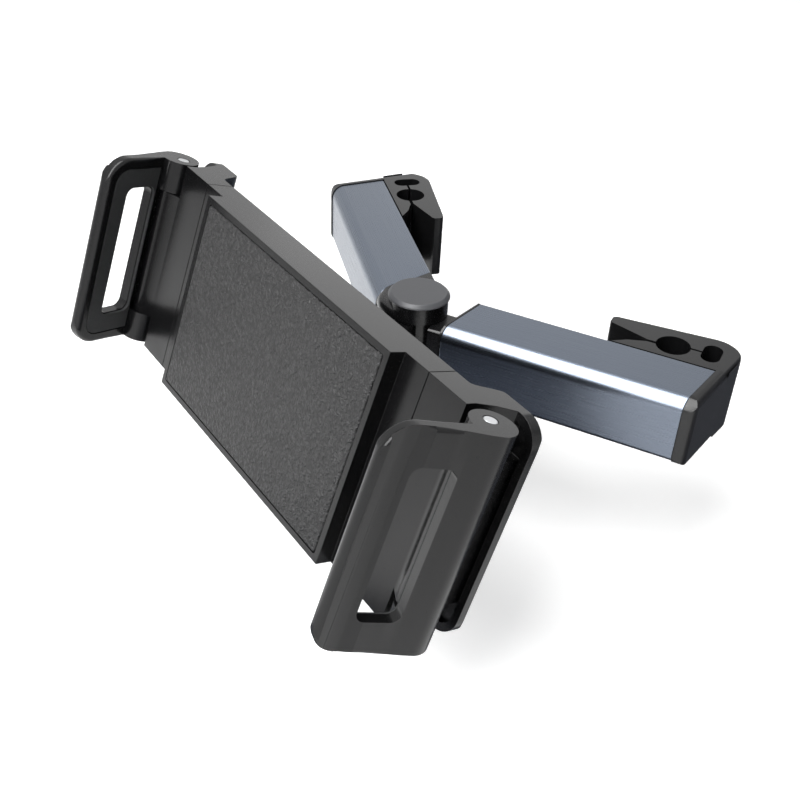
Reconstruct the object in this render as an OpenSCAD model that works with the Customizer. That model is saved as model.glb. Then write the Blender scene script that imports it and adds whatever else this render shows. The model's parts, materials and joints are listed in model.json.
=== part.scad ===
// Tablet mount that clips to the two posts of a car headrest.
// Millimetres. Origin on the axis of the right headrest post, at the arms' mid height.
// +Z runs up along the headrest posts, -Y points to the person who looks at the tablet.

/* [Arms] */
// Angle that each arm is swept back from the line across the car
arm_sweep = 25; // [12:1:60]
// Height of the arms
arm_h = 26; // [22:1:32]
// Depth of the metal sleeve, front to back
sleeve_d = 25; // [22:1:30]
// How far the sleeve's middle lies in front of the hub's axis
sleeve_shift = 2.5; // [0:0.5:4]
// Distance from the hub's axis to the sleeve's outer end, on its front face
sleeve_reach = 108; // [95:1:130]
// Wall of the sleeve
sleeve_wall = 1.6; // [1.2:0.1:2.2]
// Round of the sleeve's top front edge
sleeve_round = 5.5; // [3:0.5:8]
// Angle at which the outer ends are cut
end_skew = 10.5; // [0:0.5:15]
// Thickness of the end plate outside the sleeve
end_plate = 4.4; // [3:0.2:7]

/* [Post hook] */
// Diameter of the hole that holds the headrest post
post_d = 12.8; // [10:0.2:15]
// Distance of the post hole from the sleeve's outer end
post_inset = 13.2; // [11:0.2:20]
// Distance of the post's axis behind the sleeve
post_back = 9; // [8:0.5:12]
// Thickness of the outer jaw behind the post
jaw_wall = 6; // [4.5:0.5:8]
// Length of the jaws past the post's axis, to the tip
jaw_length = 25.6; // [20:0.2:32]
// Opening of the mouth between the jaw tips
mouth_w = 12; // [9:0.5:14]
// Gap at the neck between the mouth and the post hole
neck_gap = 1.4; // [1:0.1:3]
// Width of the relief hole beside the post hole
relief_w = 7; // [4:0.5:8]
// Length of the relief hole
relief_l = 12; // [8:0.5:13]
// How far the hook reaches below the arm
hook_drop = 2; // [0:0.5:4]
// Radius of the hook's back outer corner
hook_corner = 10.5; // [6:0.5:11]

/* [Hub] */
// Radius of the hub's barrel
barrel_r = 10.4; // [9:0.2:12]
// Thickness of each knuckle leaf
leaf_t = 4.4; // [3:0.2:5]
// Height of the upper leaf above the arm's top
leaf_rise = 2; // [0:0.5:3]
// Radius of the cap's overhanging rim
cap_r = 12; // [11:0.2:14]
// Height of the cap above the upper leaf
cap_h = 2; // [1.5:0.25:4]
// Radius of the pivot bolt
bolt_r = 3; // [2.5:0.25:4]
// Width of the neck that carries the ball
neck_w = 15; // [12:0.5:18]
// Distance from the hub's axis to the ball's centre
ball_reach = 43; // [38:1:60]
// Height of the ball's centre
ball_z = -1.5; // [-3:0.5:3]
// Radius of the ball
ball_r = 10; // [8:0.5:10.5]
// Radius of the stud below the ball
stud_r = 4.6; // [3.5:0.1:5]

/* [Holder pose] */
// Turn of the hub's neck from straight ahead
neck_turn = 0.9; // [-15:0.1:15]
// Backward tilt of the holder on the ball
hold_tilt = 18.3; // [-20:0.1:22]
// Turn of the holder to the side
hold_pan = -3.1; // [-10:0.1:10]
// Roll of the holder about its own normal
hold_roll = 1.9; // [-10:0.1:10]

/* [Holder body] */
// Length of the fixed centre part
body_l = 144; // [130:1:160]
// Height of the holder
body_h = 80.8; // [74:0.2:90]
// Thickness of the centre part
body_t = 11; // [10.5:0.5:14]
// Length of the raised platform
platform_l = 120; // [110:1:124]
// Height of the raised platform above the front plane
platform_t = 6.1; // [5.5:0.1:8]
// Wall of the moulded shells
shell_wall = 2; // [1.6:0.1:2.6]
// Width of the platform's rim around the grip pad
pad_rim = 2.4; // [1.5:0.1:4]
// Distance from the ball's centre to the holder's front plane
ball_depth = 24; // [23:0.5:28]

/* [Brackets] */
// Travel of each bracket
bracket_travel = 35; // [20:1:40]
// Reach of a closed bracket from its seam to its outer end
bracket_l = 33.7; // [32:0.1:40]
// Thickness of the bracket at the flap's seat
seat_t = 20.5; // [19:0.5:23]
// Radius of the bracket's outer corners
seat_corner = 9; // [5:0.5:9.5]
// Width of the lip round the seat
lip_w = 3; // [2:0.5:4]
// Thickness of each sliding tongue
tongue_t = 2.3; // [2:0.1:2.4]
// Height of the lane beside each tongue that holds a spring
spring_lane = 8.4; // [7.5:0.1:12]

/* [Flaps] */
// How far the flaps stay inside the holder's upper and lower edges
flap_inset = 0.4; // [0.1:0.1:4]
// Reach of the flap from its pin
flap_d = 35.6; // [32:0.2:36.4]
// Thickness of the flap's plate
flap_t = 5.4; // [5:0.1:6]
// Distance of the flap's outer face from the pin's axis
flap_out = 9.4; // [9:0.1:9.6]
// Distance of the pin's axis from the seam
pin_inset = 26.6; // [26:0.1:28]
// Depth of the pin's axis below the front plane
pin_deep = 2.7; // [2:0.1:3.5]
// Radius of the flap pins
pin_r = 2.4; // [1.8:0.1:2.6]
// Inward lean of the right flap
lean_right = 16; // [0:0.1:25]
// Inward lean of the left flap
lean_left = 22; // [0:0.1:25]
// Distance of the window from the flap's upper and lower edges
window_end = 12.5; // [11:0.5:20]
// Width of the window in the flap
window_w = 15; // [10:0.5:16]
// Distance of the window from the pin
window_s = 9; // [8.5:0.5:12]
// Length of each end knuckle of the flap
knuckle_l = 13; // [10:0.5:16]
// Radius of the flap's free corners
flap_corner = 10.5; // [5:0.5:12]
// Width of the rim round the flap's soft pad
flap_rim = 4; // [2:0.5:5]

/* [Rack drive] */
// Module of the teeth
tooth_module = 1; // [0.9:0.05:1.1]
// Number of teeth on the pinion
pinion_teeth = 14; // [12:2:16]
// Play between the teeth
tooth_play = 0.3; // [0.2:0.05:0.4]

/* [Hidden] */
$fn = 64;
eps = 0.01;
// Gap between pieces that move past each other
gap = 0.3;
// Radial clearance of a running fit
fit = 0.05;

// Derived places along an arm: u runs outward, v runs back, z runs up
front_v = -(sleeve_d / 2 + sleeve_shift);
back_v = sleeve_d / 2 - sleeve_shift;
top_z = arm_h / 2;
core_proud = 0.5;
hook_v = back_v + core_proud;
post_u = sleeve_reach - post_inset;
post_v = back_v + post_back;
post_r = post_d / 2;
tip_u = post_u - jaw_length;
jaw_back_v = post_v + post_r + jaw_wall;
jaw_tip_drop = 3;
skew_slope = tan(end_skew);
hub_gap_r = barrel_r + gap + 0.1;

// Heights in the hub, from the bottom up
lower_leaf_top = -top_z + leaf_t;
upper_leaf_bottom = top_z - leaf_t;
washer_t = 0.5;
barrel_bottom = lower_leaf_top + fit + washer_t;
barrel_top = upper_leaf_bottom - fit - washer_t;
cap_base = top_z + leaf_rise;
// Radius round the hub that the sleeves stay out of
sleeve_clear_r = barrel_r + 5.4;
// Nearest place along an arm that its shoulders reach beside the hub
shoulder_u = 9;

// Ball joint
liner_t = 0.8;
cup_fit = fit;
liner_in = ball_r + cup_fit;
liner_out = liner_in + liner_t;
socket_in = liner_out + cup_fit;
ring_thread_r = socket_in + 2.2;
ring_out_r = ring_thread_r + 2.4;

// Holder: x along it, y up it, z out of its face, face plane at z = 0
seam_x = body_l / 2;
half_h = body_h / 2;
cover_t = 2.2;
tongue_h = body_h - 2 * (shell_wall + spring_lane);
flap_h = body_h - 2 * flap_inset;
window_l = flap_h - 2 * window_end;
pin_x = seam_x + pin_inset;
pin_z = -pin_deep;
outer_x = seam_x + gap + bracket_l;
lip_z = -seat_t + 4.1;
floor_z = -seat_t + 1.9;
barrel_flap_r = 7.6;
flap_swing_r = barrel_flap_r + 0.35;
seat_edge_x = pin_x - flap_swing_r - gap;
barrel_shift = flap_out - barrel_flap_r;
lug_r = 6.6;
lug_h = flap_h - 2 * knuckle_l;
tongue_a_z = -shell_wall - 1.2 - tongue_t;
tongue_b_z = tongue_a_z - 0.5 - tongue_t;
pitch_r = tooth_module * pinion_teeth / 2;
tooth_pitch = PI * tooth_module;
addendum = 0.75 * tooth_module;
dedendum = 1.0 * tooth_module;
teeth_in = ceil((bracket_travel + 4) / tooth_pitch);
tongue_in = bracket_travel + pitch_r + addendum + 1;
spring_r = 2.4;
spring_y = (tongue_h / 2 + half_h - shell_wall) / 2;
spring_post_x = seam_x - shell_wall - 4.5;

// Frames of the moving assemblies
post_x = post_u * cos(arm_sweep) - post_v * sin(arm_sweep);
post_y = post_u * sin(arm_sweep) + post_v * cos(arm_sweep);
module in_hub() { translate([-post_x, -post_y, 0]) children(); }
module in_neck() { in_hub() rotate([0, 0, neck_turn]) children(); }
module in_right_arm() { in_hub() rotate([0, 0, arm_sweep]) children(); }
module in_left_arm() { in_hub() mirror([1, 0, 0]) rotate([0, 0, arm_sweep]) children(); }
module at_ball() {
    in_neck() translate([0, -ball_reach, ball_z])
        rotate([0, 0, hold_pan]) rotate([-hold_tilt, 0, 0]) rotate([0, hold_roll, 0])
            rotate([90, 0, 0]) children();
}
module in_holder() { at_ball() translate([0, 0, ball_depth]) children(); }
module in_right_flap() {
    in_holder() translate([pin_x, 0, pin_z]) rotate([0, -lean_right, 0]) children();
}
module in_left_flap() {
    in_holder() mirror([1, 0, 0]) translate([pin_x, 0, pin_z]) rotate([0, -lean_left, 0]) children();
}

// Flat helpers
module corner_square(r) {
    difference() {
        translate([-eps, -eps]) square(r + eps);
        translate([r, r]) circle(r);
    }
}
module rounded_plate(w, h, r) {
    difference() {
        square([w, h], center = true);
        for (sx = [-1, 1], sy = [-1, 1]) scale([sx, sy]) translate([-w / 2, -h / 2]) corner_square(r);
    }
}
module slot_plate(w, l) {
    square([w, l - w], center = true);
    for (s = [-1, 1]) translate([0, s * (l - w) / 2]) circle(d = w);
}
// Puts a drawing of (v, z) across an arm and runs it out along the arm
module along_arm(length) { rotate([90, 0, 90]) linear_extrude(length) children(); }
// Puts a drawing of (x, z) on the holder and runs it up the holder's height
module up_holder(height) { rotate([90, 0, 0]) linear_extrude(height, center = true) children(); }

// Outline of the arm's section, grown or shrunk by a margin
module arm_section(margin = 0, back = back_v) {
    bottom_r = 2;
    w = back - front_v + margin;
    h = arm_h + 2 * margin;
    difference() {
        translate([front_v - margin, -h / 2]) square([w, h]);
        translate([front_v - margin, h / 2]) mirror([0, 1]) corner_square(sleeve_round + margin);
        translate([front_v - margin, -h / 2]) corner_square(bottom_r + margin);
    }
}

// Slanted end cuts: everything beyond a line across the arm
module beyond(u_front, slope) {
    far = 80;
    translate([0, 0, -far / 2]) linear_extrude(far)
        polygon([
            [u_front - slope * far / 2, front_v - far / 2], [u_front + slope * (far + far / 2), front_v + far + far / 2],
            [u_front + 200, front_v + far + far / 2], [u_front + 200, front_v - far / 2]
        ]);
}

// Metal sleeve: a channel that is open at the back and wraps the core
module arm_sleeve(u_front, u_back) {
    inner_slope = (u_back - u_front) / sleeve_d;
    color("slategray") difference() {
        intersection() {
            along_arm(sleeve_reach + 20) arm_section();
            beyond(u_front, inner_slope);
        }
        translate([-1, 0, 0]) along_arm(sleeve_reach + 30) sleeve_bore();
        beyond(sleeve_reach, skew_slope);
        translate([0, 0, -arm_h]) cylinder(h = 2 * arm_h, r = sleeve_clear_r);
    }
}
module sleeve_bore() {
    difference() {
        translate([front_v + sleeve_wall, -top_z + sleeve_wall])
            square([sleeve_d, arm_h - 2 * sleeve_wall]);
        translate([front_v + sleeve_wall, top_z - sleeve_wall]) mirror([0, 1])
            corner_square(sleeve_round - sleeve_wall);
    }
}

// Moulded core: fills the sleeve, closes its back and ends in a knuckle leaf
core_slack = 0.1;
module core_section() {
    inner = sleeve_wall + core_slack;
    difference() {
        translate([front_v + inner, -top_z + inner])
            square([hook_v - front_v - inner, arm_h - 2 * inner]);
        translate([front_v + inner, top_z - inner]) mirror([0, 1]) corner_square(sleeve_round - sleeve_wall);
    }
}
// Hollows between the core's ribs, open to the front and hidden by the sleeve
module core_pockets() {
    first = barrel_r + 14;
    last = sleeve_reach - 16;
    count = 4;
    step = (last - first) / count;
    pocket_h = arm_h - 2 * sleeve_wall - 6;
    for (i = [0 : count - 1])
        translate([first + i * step, front_v + sleeve_wall, -pocket_h / 2])
            cube([step - 2.4, sleeve_d - sleeve_wall - 3, pocket_h]);
}
module core_body() {
    difference() {
        intersection() {
            along_arm(sleeve_reach + 20) core_section();
            beyond(barrel_r + 10, 0.2);
        }
        beyond(sleeve_reach - core_slack, skew_slope);
        core_pockets();
        hook_screw_holes();
    }
}

// Left shoulder, which joins the core to the upper leaf beside the hub
module left_shoulder() {
    translate([0, 0, -top_z]) linear_extrude(arm_h / 2 + upper_leaf_bottom + eps) polygon([
        [shoulder_u, front_v], [barrel_r + 14, front_v], [barrel_r + 14, hook_v],
        [shoulder_u + 3.5, hook_v], [shoulder_u, hook_v - 6.5]
    ]);
}
// Right shoulder, narrower and lower, which passes under the upper leaf
right_shoulder_front = -10.4;
right_shoulder_back = 4.5;
module right_shoulder() {
    height = top_z + upper_leaf_bottom - gap;
    depth = right_shoulder_back - right_shoulder_front;
    translate([0, right_shoulder_front, -top_z]) cube([barrel_r + 14, depth, leaf_t]);
    translate([shoulder_u, right_shoulder_front, -top_z]) cube([barrel_r + 14 - shoulder_u, depth, height - 1.5]);
    translate([shoulder_u, right_shoulder_front + 1.5, -top_z]) cube([barrel_r + 14 - shoulder_u, depth - 3, height]);
    for (v = [right_shoulder_front + 1.5, right_shoulder_back - 1.5])
        translate([shoulder_u, v, -top_z + height - 1.5]) rotate([0, 90, 0]) cylinder(h = barrel_r + 14 - shoulder_u, r = 1.5);
}
// Thin rim of the core that covers the sleeve's inner end
rim_t = 0.9;
module inner_rim(u_front, u_back) {
    slope = (u_back - u_front) / sleeve_d;
    difference() {
        intersection() {
            along_arm(80) arm_section();
            beyond(u_front - rim_t, slope);
        }
        beyond(u_front - core_slack, slope);
        translate([0, 0, -arm_h]) cylinder(h = 2 * arm_h, r = sleeve_clear_r);
    }
}
// Keeps a knuckle out of its sleeve's walls and out of the hub's turning parts
module knuckle_room(u_front, u_back) {
    difference() {
        intersection() {
            difference() {
                translate([-1, 0, 0]) along_arm(80) arm_section(1);
                translate([-2, 0, 0]) along_arm(90) core_section();
            }
            beyond(u_front - core_slack, (u_back - u_front) / sleeve_d);
        }
        translate([0, 0, -arm_h]) cylinder(h = 2 * arm_h, r = sleeve_clear_r - core_slack);
    }
}
left_inner_front = 9;
left_inner_back = 21.5;
right_inner_front = 16.5;
right_inner_back = 21.6;

// Knuckle of the left arm: the upper leaf, flush with the arm and raised round the hub
leaf_reach = 4.5;
leaf_round = 3;
module left_knuckle() {
    r = sleeve_d / 2;
    difference() {
        union() {
            translate([0, 0, upper_leaf_bottom]) cylinder(h = cap_base - upper_leaf_bottom, r = barrel_r + 1);
            intersection() {
                union() {
                    translate([leaf_reach, -sleeve_shift, 0]) rotate_extrude() difference() {
                        square([r, top_z]);
                        translate([r, top_z]) mirror([1, 0]) mirror([0, 1]) corner_square(leaf_round);
                    }
                    translate([leaf_reach, 0, 0]) along_arm(barrel_r + 14 - leaf_reach) arm_section();
                }
                translate([-40, -40, upper_leaf_bottom]) cube([80, 80, top_z]);
            }
            intersection() {
                left_shoulder();
                along_arm(50) arm_section();
            }
        }
        translate([0, 0, -arm_h]) cylinder(h = arm_h + upper_leaf_bottom, r = hub_gap_r);
        bolt_hole();
        knuckle_room(left_inner_front, left_inner_back);
    }
}

module bolt_hole() { translate([0, 0, -arm_h]) cylinder(h = 2 * arm_h, r = bolt_r + fit); }

// Knuckle of the right arm: the lower leaf and an inset shoulder beside the barrel
module right_knuckle() {
    difference() {
        union() {
            translate([0, 0, -top_z]) cylinder(h = leaf_t, r = barrel_r);
            right_shoulder();
            intersection() {
                along_arm(barrel_r + 14) core_section();
                beyond(right_inner_front - core_slack - eps, (right_inner_back - right_inner_front) / sleeve_d);
            }
            inner_rim(right_inner_front, right_inner_back);
        }
        translate([0, 0, lower_leaf_top]) cylinder(h = arm_h, r = hub_gap_r);
        translate([0, 0, upper_leaf_bottom - gap]) cylinder(h = arm_h, r = barrel_r + 1 + gap + 0.1);
        bolt_hole();
        translate([0, 0, -top_z - 1]) cylinder(h = 1 + nut_room, r = nut_r + 0.4);
        knuckle_room(right_inner_front, right_inner_back);
    }
}

module right_sleeve() { in_right_arm() arm_sleeve(right_inner_front, right_inner_back); }
module left_sleeve() { in_left_arm() arm_sleeve(left_inner_front, left_inner_back); }
module right_core() {
    color("dimgray") in_right_arm() { union() { core_body(); right_knuckle(); } }
}
module left_core() {
    color("dimgray") in_left_arm() { union() { core_body(); left_knuckle(); } }
}

// Screws that hold each hook to its core, put in from the front before the sleeve goes on
hook_screw_u = post_u + post_r + 2;
hook_screw_z = top_z - 6.5;
screw_seat_v = 1;
hook_screw_l = back_v - screw_seat_v + 6.6;
module hook_screw_holes() {
    for (z = [-1, 1]) translate([hook_screw_u, 0, z * hook_screw_z]) rotate([-90, 0, 0]) {
        cylinder(h = back_v + 10, r = 1.5);
        translate([0, 0, front_v]) cylinder(h = screw_seat_v - front_v, r = 3);
    }
}
module hook_screws() {
    color("gray") for (z = [-1, 1]) translate([hook_screw_u, screw_seat_v, z * hook_screw_z]) rotate([-90, 0, 0])
        rotate_extrude() polygon([
            [0, -1.4], [2.2, -1.4], [2.6, -1], [2.6, 0], [1.25, 0], [1.25, hook_screw_l - 1], [0.6, hook_screw_l], [0, hook_screw_l]
        ]);
}
module right_hook_screws() { in_right_arm() hook_screws(); }
module left_hook_screws() { in_left_arm() hook_screws(); }

// Post hook: end plate, fixed jaw, springy outer jaw, post hole and relief hole
end_u = sleeve_reach + end_plate;
function end_face_u(v) = end_u + skew_slope * (v - front_v);
corner_u = end_face_u(jaw_back_v - hook_corner) - hook_corner;
function arc(cx, cy, r, a0, a1, n) = [for (i = [0 : n]) [cx + r * cos(a0 + (a1 - a0) * i / n), cy + r * sin(a0 + (a1 - a0) * i / n)]];
module hook_plan() {
    mouth_low_u = tip_u + 4.6;
    mouth_mid = post_v - 1.4;
    neck_u = post_u - post_r - 3;
    difference() {
        polygon(concat(
            [[mouth_low_u, hook_v], [end_face_u(hook_v), hook_v]],
            arc(corner_u, jaw_back_v - hook_corner, hook_corner, -10, 90 + 5, 14),
            arc(tip_u + 2, jaw_back_v - jaw_tip_drop - 2, 2, 95, 200, 6),
            [[tip_u, jaw_back_v - jaw_tip_drop - 4.2], [tip_u + 2.2, mouth_mid + mouth_w / 2 - 1.6]]
        ));
        // Mouth that leads the post to the neck
        polygon([
            [tip_u - 5, mouth_mid + mouth_w / 2 + 3.4], [tip_u, mouth_mid + mouth_w / 2], [neck_u, mouth_mid + neck_gap / 2],
            [neck_u, mouth_mid - neck_gap / 2], [tip_u + 9.5, mouth_mid - 3.4], [mouth_low_u, hook_v - eps], [tip_u - 5, hook_v - eps]
        ]);
        // Neck
        translate([neck_u - eps, mouth_mid - neck_gap / 2]) square([post_r + 3, neck_gap]);
        translate([post_u, post_v]) circle(post_r);
        // Slit and relief hole let the outer jaw spring open
        translate([post_u, post_v + 0.6]) square([relief_u - post_u, 1]);
        translate([relief_u, post_v + 1.6]) slot_plate(relief_w, relief_l);
    }
}
relief_u = post_u + post_r + 4 + relief_w / 2;
module end_hook() {
    color("dimgray") difference() {
        union() {
            translate([0, 0, -top_z - hook_drop]) linear_extrude(arm_h + hook_drop) hook_plan();
            // End plate across the sleeve, rounded like it
            intersection() {
                translate([sleeve_reach - 10, 0, 0]) along_arm(60) arm_section(plate_proud, hook_v + eps);
                beyond(sleeve_reach + core_slack, skew_slope);
                translate([0, 0, -arm_h]) linear_extrude(2 * arm_h) plate_plan();
            }
        }
        end_trim();
        hook_screw_pockets();
    }
}
// Outline of the end plate from above, with its front corner rounded
plate_proud = 0.4;
front_round = 3.6;
module plate_plan() {
    edge_v = front_v - plate_proud;
    round_u = end_face_u(edge_v) + front_round * (skew_slope - 1 / cos(end_skew));
    polygon(concat(
        [[sleeve_reach - 10, jaw_back_v], [sleeve_reach - 10, edge_v]],
        arc(round_u, edge_v + front_round, front_round, -90, -end_skew, 12),
        [[end_face_u(jaw_back_v), jaw_back_v]]
    ));
}
// Rounds the upper edge of the end face
end_round = 3.2;
module end_trim() {
    far = 60;
    translate([end_u, front_v, top_z + plate_proud]) rotate([90, 0, -end_skew])
        linear_extrude(2 * far, center = true) mirror([1, 0]) mirror([0, 1]) corner_square(end_round);
}
// Pilot holes for the screws
module hook_screw_pockets() {
    for (z = [-1, 1]) translate([hook_screw_u, back_v - 3, z * hook_screw_z]) rotate([-90, 0, 0])
        cylinder(h = 3 + screw_seat_v + hook_screw_l - back_v + 0.8, r = 1.3);
}
module right_hook() { in_right_arm() end_hook(); }
module left_hook() { in_left_arm() end_hook(); }

// Hub body: barrel between the leaves, with the neck towards the holder
neck_end = barrel_r + 7;
boss_r = 7;
boss_end = ball_reach - ball_r - 6;
module hub_body() {
    h = barrel_top - barrel_bottom;
    color("dimgray") in_neck() difference() {
        union() {
            translate([0, 0, barrel_bottom]) cylinder(h = h, r = barrel_r);
            translate([0, 0, barrel_bottom]) linear_extrude(h) neck_plan();
            translate([0, -barrel_r, ball_z]) rotate([90, 0, 0]) cylinder(h = boss_end - barrel_r, r = boss_r);
        }
        bolt_hole();
        // Under and over the boss the neck slopes away
        for (s = [-1, 1]) translate([0, -neck_end, ball_z + s * (boss_r + 8.5)]) rotate([s * 35, 0, 0])
            cube([2 * neck_w, 14, 11], center = true);
        translate([0, -boss_end - 1, ball_z]) rotate([-90, 0, 0]) cylinder(h = 10, r = stud_r - 0.6);
    }
}
module neck_plan() {
    polygon([
        [-neck_w / 2, 0], [-neck_w / 2, -barrel_r - 3], [-neck_w / 2 + 2, -neck_end],
        [neck_w / 2 - 2, -neck_end], [neck_w / 2, -barrel_r - 3], [neck_w / 2, 0]
    ]);
}

// Cap over the bolt's head, with an overhanging rounded rim
head_t = 1.2;
cap_bevel = 1.3;
module hub_cap() {
    full = cap_h + 0.2;
    color("gray") in_hub() translate([0, 0, cap_base]) difference() {
        rotate_extrude() difference() {
            translate([0, gap]) square([cap_r, full - gap]);
            translate([cap_r, full]) rotate(45) square(cap_bevel * sqrt(2), center = true);
        }
        translate([0, 0, -eps]) cylinder(h = head_t + fit + eps, r = head_r + fit);
    }
}

// Pivot bolt with its nut, and the friction washers between the leaves
head_r = 5.4;
nut_r = 5;
nut_t = 2.2;
nut_room = 2.6;
nut_bottom = -top_z + nut_room - fit - nut_t;
module pivot_bolt() {
    color("silver") in_hub() {
        translate([0, 0, nut_bottom]) cylinder(h = cap_base + fit - nut_bottom, r = bolt_r);
        translate([0, 0, cap_base + fit]) cylinder(h = head_t, r = head_r);
    }
}
module pivot_nut() {
    color("silver") in_hub() translate([0, 0, nut_bottom]) difference() {
        cylinder(h = nut_t, r = nut_r, $fn = 6);
        translate([0, 0, -1]) cylinder(h = nut_t + 2, r = bolt_r);
    }
}
module hub_washers() {
    color("silver") in_hub() for (z = [lower_leaf_top + fit, barrel_top]) translate([0, 0, z]) difference() {
        cylinder(h = washer_t, r = barrel_r - 1);
        translate([0, 0, -1]) cylinder(h = washer_t + 2, r = bolt_r + fit);
    }
}
// Cap under the nut
module bottom_cap() {
    flange_r = nut_r + 3;
    drop = 1.5;
    color("dimgray") in_hub() translate([0, 0, -top_z - drop]) rotate_extrude() polygon([
        [0, 0], [flange_r - 1.4, 0], [flange_r, 0.8], [flange_r, drop - gap], [nut_r - 0.5, drop - gap],
        [nut_r - 0.5, drop + top_z + nut_bottom], [0, drop + top_z + nut_bottom]
    ]);
}

// Ball stud, screwed into the hub's neck
module ball_stud() {
    color("silver") in_neck() translate([0, -ball_reach, ball_z]) {
        sphere(r = ball_r, $fn = 96);
        rotate([-90, 0, 0]) cylinder(h = ball_reach - boss_end, r = stud_r);
        rotate([-90, 0, 0]) cylinder(h = ball_reach - boss_end + 8, r = stud_r - 0.65);
    }
}

// Friction liner round the ball, open at the stud
liner_open_z = 4.6;
module ball_liner() {
    color("whitesmoke") in_neck() translate([0, -ball_reach, ball_z]) rotate([90, 0, hold_pan]) difference() {
        sphere(r = liner_out, $fn = 96);
        sphere(r = liner_in, $fn = 96);
        translate([0, 0, -ball_r * 2 - liner_open_z]) cylinder(h = ball_r * 2, r = 2 * ball_r);
    }
}

// Seat cup that presses the liner, in a bore of the back cover
cup_r = 8.6;
cup_floor = ball_depth - body_t + 0.4;
module seat_cup() {
    color("black") at_ball_no_roll() difference() {
        translate([0, 0, ball_r * 0.62]) cylinder(h = cup_floor - ball_r * 0.62 - 0.05, r = cup_r);
        sphere(r = socket_in, $fn = 96);
    }
}
module at_ball_no_roll() {
    in_neck() translate([0, -ball_reach, ball_z]) rotate([0, 0, hold_pan]) rotate([90 - hold_tilt, 0, 0]) children();
}

// Locking ring: ridged collar whose lip holds the ball's back half
ring_front = 5.5;
ring_back = -7.4;
module locking_ring() {
    ridge_count = 24;
    color("dimgray") at_ball() difference() {
        union() {
            translate([0, 0, ring_back]) cylinder(h = ring_front - ring_back, r = ring_out_r);
            for (i = [0 : ridge_count - 1]) rotate([0, 0, i * 360 / ridge_count])
                translate([ring_out_r, 0, ring_back + 1.2]) cylinder(h = ring_front - ring_back - 2.4, r = 0.7, $fn = 16);
        }
        sphere(r = socket_in, $fn = 96);
        translate([0, 0, -0.6]) cylinder(h = 20, r = ring_thread_r + fit);
        // The opening flares from the ball's centre so that the stud can swing
        translate([0, 0, ring_back - 1]) cylinder(h = 1 - ring_back, r1 = (1 - ring_back) * tan(ring_open), r2 = 0);
    }
}
// Half angle of the ring's opening, seen from the ball's centre
ring_open = 62;

// Front shell with the raised platform
module front_shell() {
    tongue_gap = 0.3;
    color("dimgray") in_holder() difference() {
        union() {
            translate([-seam_x, -half_h, -body_t]) cube([body_l, body_h, body_t]);
            translate([-platform_l / 2, -half_h, -1]) cube([platform_l, body_h, platform_t + 1]);
        }
        // Hollow behind the face
        translate([-seam_x + shell_wall, -half_h + shell_wall, -body_t - 1])
            cube([body_l - 2 * shell_wall, body_h - 2 * shell_wall, body_t + 1 - shell_wall]);
        translate([-platform_l / 2 + shell_wall, -half_h + shell_wall, -shell_wall - 1])
            cube([platform_l - 2 * shell_wall, body_h - 2 * shell_wall, platform_t - pad_inset + 1]);
        // Recess for the grip pad
        translate([0, 0, platform_t - pad_inset]) linear_extrude(3)
            rounded_plate(platform_l - 2 * pad_rim, body_h - 2 * pad_rim, 1);
        // Mouths for the tongues
        translate([seam_x - shell_wall - 1, -tongue_h / 2 - tongue_gap, tongue_a_z - tongue_gap])
            cube([shell_wall + 2, tongue_h + 2 * tongue_gap, tongue_t + 2 * tongue_gap]);
        translate([-seam_x - 1, -tongue_h / 2 - tongue_gap, tongue_b_z - tongue_gap])
            cube([shell_wall + 2, tongue_h + 2 * tongue_gap, tongue_t + 2 * tongue_gap]);
    }
    color("dimgray") in_holder() shell_ribs();
}
pad_inset = 1;
// Screws that hold the cover
screw_r = 1.5;
screw_head_r = 2.8;
pilot_r = 1.1;
screw_post_r = 3;
// Ribs under the platform and posts that take the cover's screws
module shell_ribs() {
    rib_top = platform_t - pad_inset - shell_wall + eps;
    rib_bottom = tongue_a_z + tongue_t + gap;
    for (x = [-2 : 2]) translate([x * platform_l / 6 - 0.7, -half_h + shell_wall - eps, rib_bottom])
        cube([1.4, body_h - 2 * shell_wall + 2 * eps, rib_top - rib_bottom]);
    for (y = [-1, 1]) translate([-platform_l / 2 + 1, y * body_h / 5 - 0.7, rib_bottom])
        cube([platform_l - 2, 1.4, rib_top - rib_bottom]);
    difference() {
        for (inner = [true, false]) at_screw_pair(inner) translate([0, 0, -body_t + cover_t + 0.1])
            cylinder(h = (inner ? platform_t - pad_inset : 0) - shell_wall + body_t - cover_t, r = screw_post_r);
        at_screws() translate([0, 0, -body_t]) cylinder(h = body_t - shell_wall - 1, r = pilot_r);
    }
}
module at_screw_pair(inner) {
    x = inner ? -2 * screw_post_r : seam_x - shell_wall - screw_post_r - 0.4;
    for (s = [-1, 1]) translate([s * x, s * (inner ? spring_y : -spring_y), 0]) children();
}
module at_screws() {
    at_screw_pair(true) children();
    at_screw_pair(false) children();
}

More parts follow.
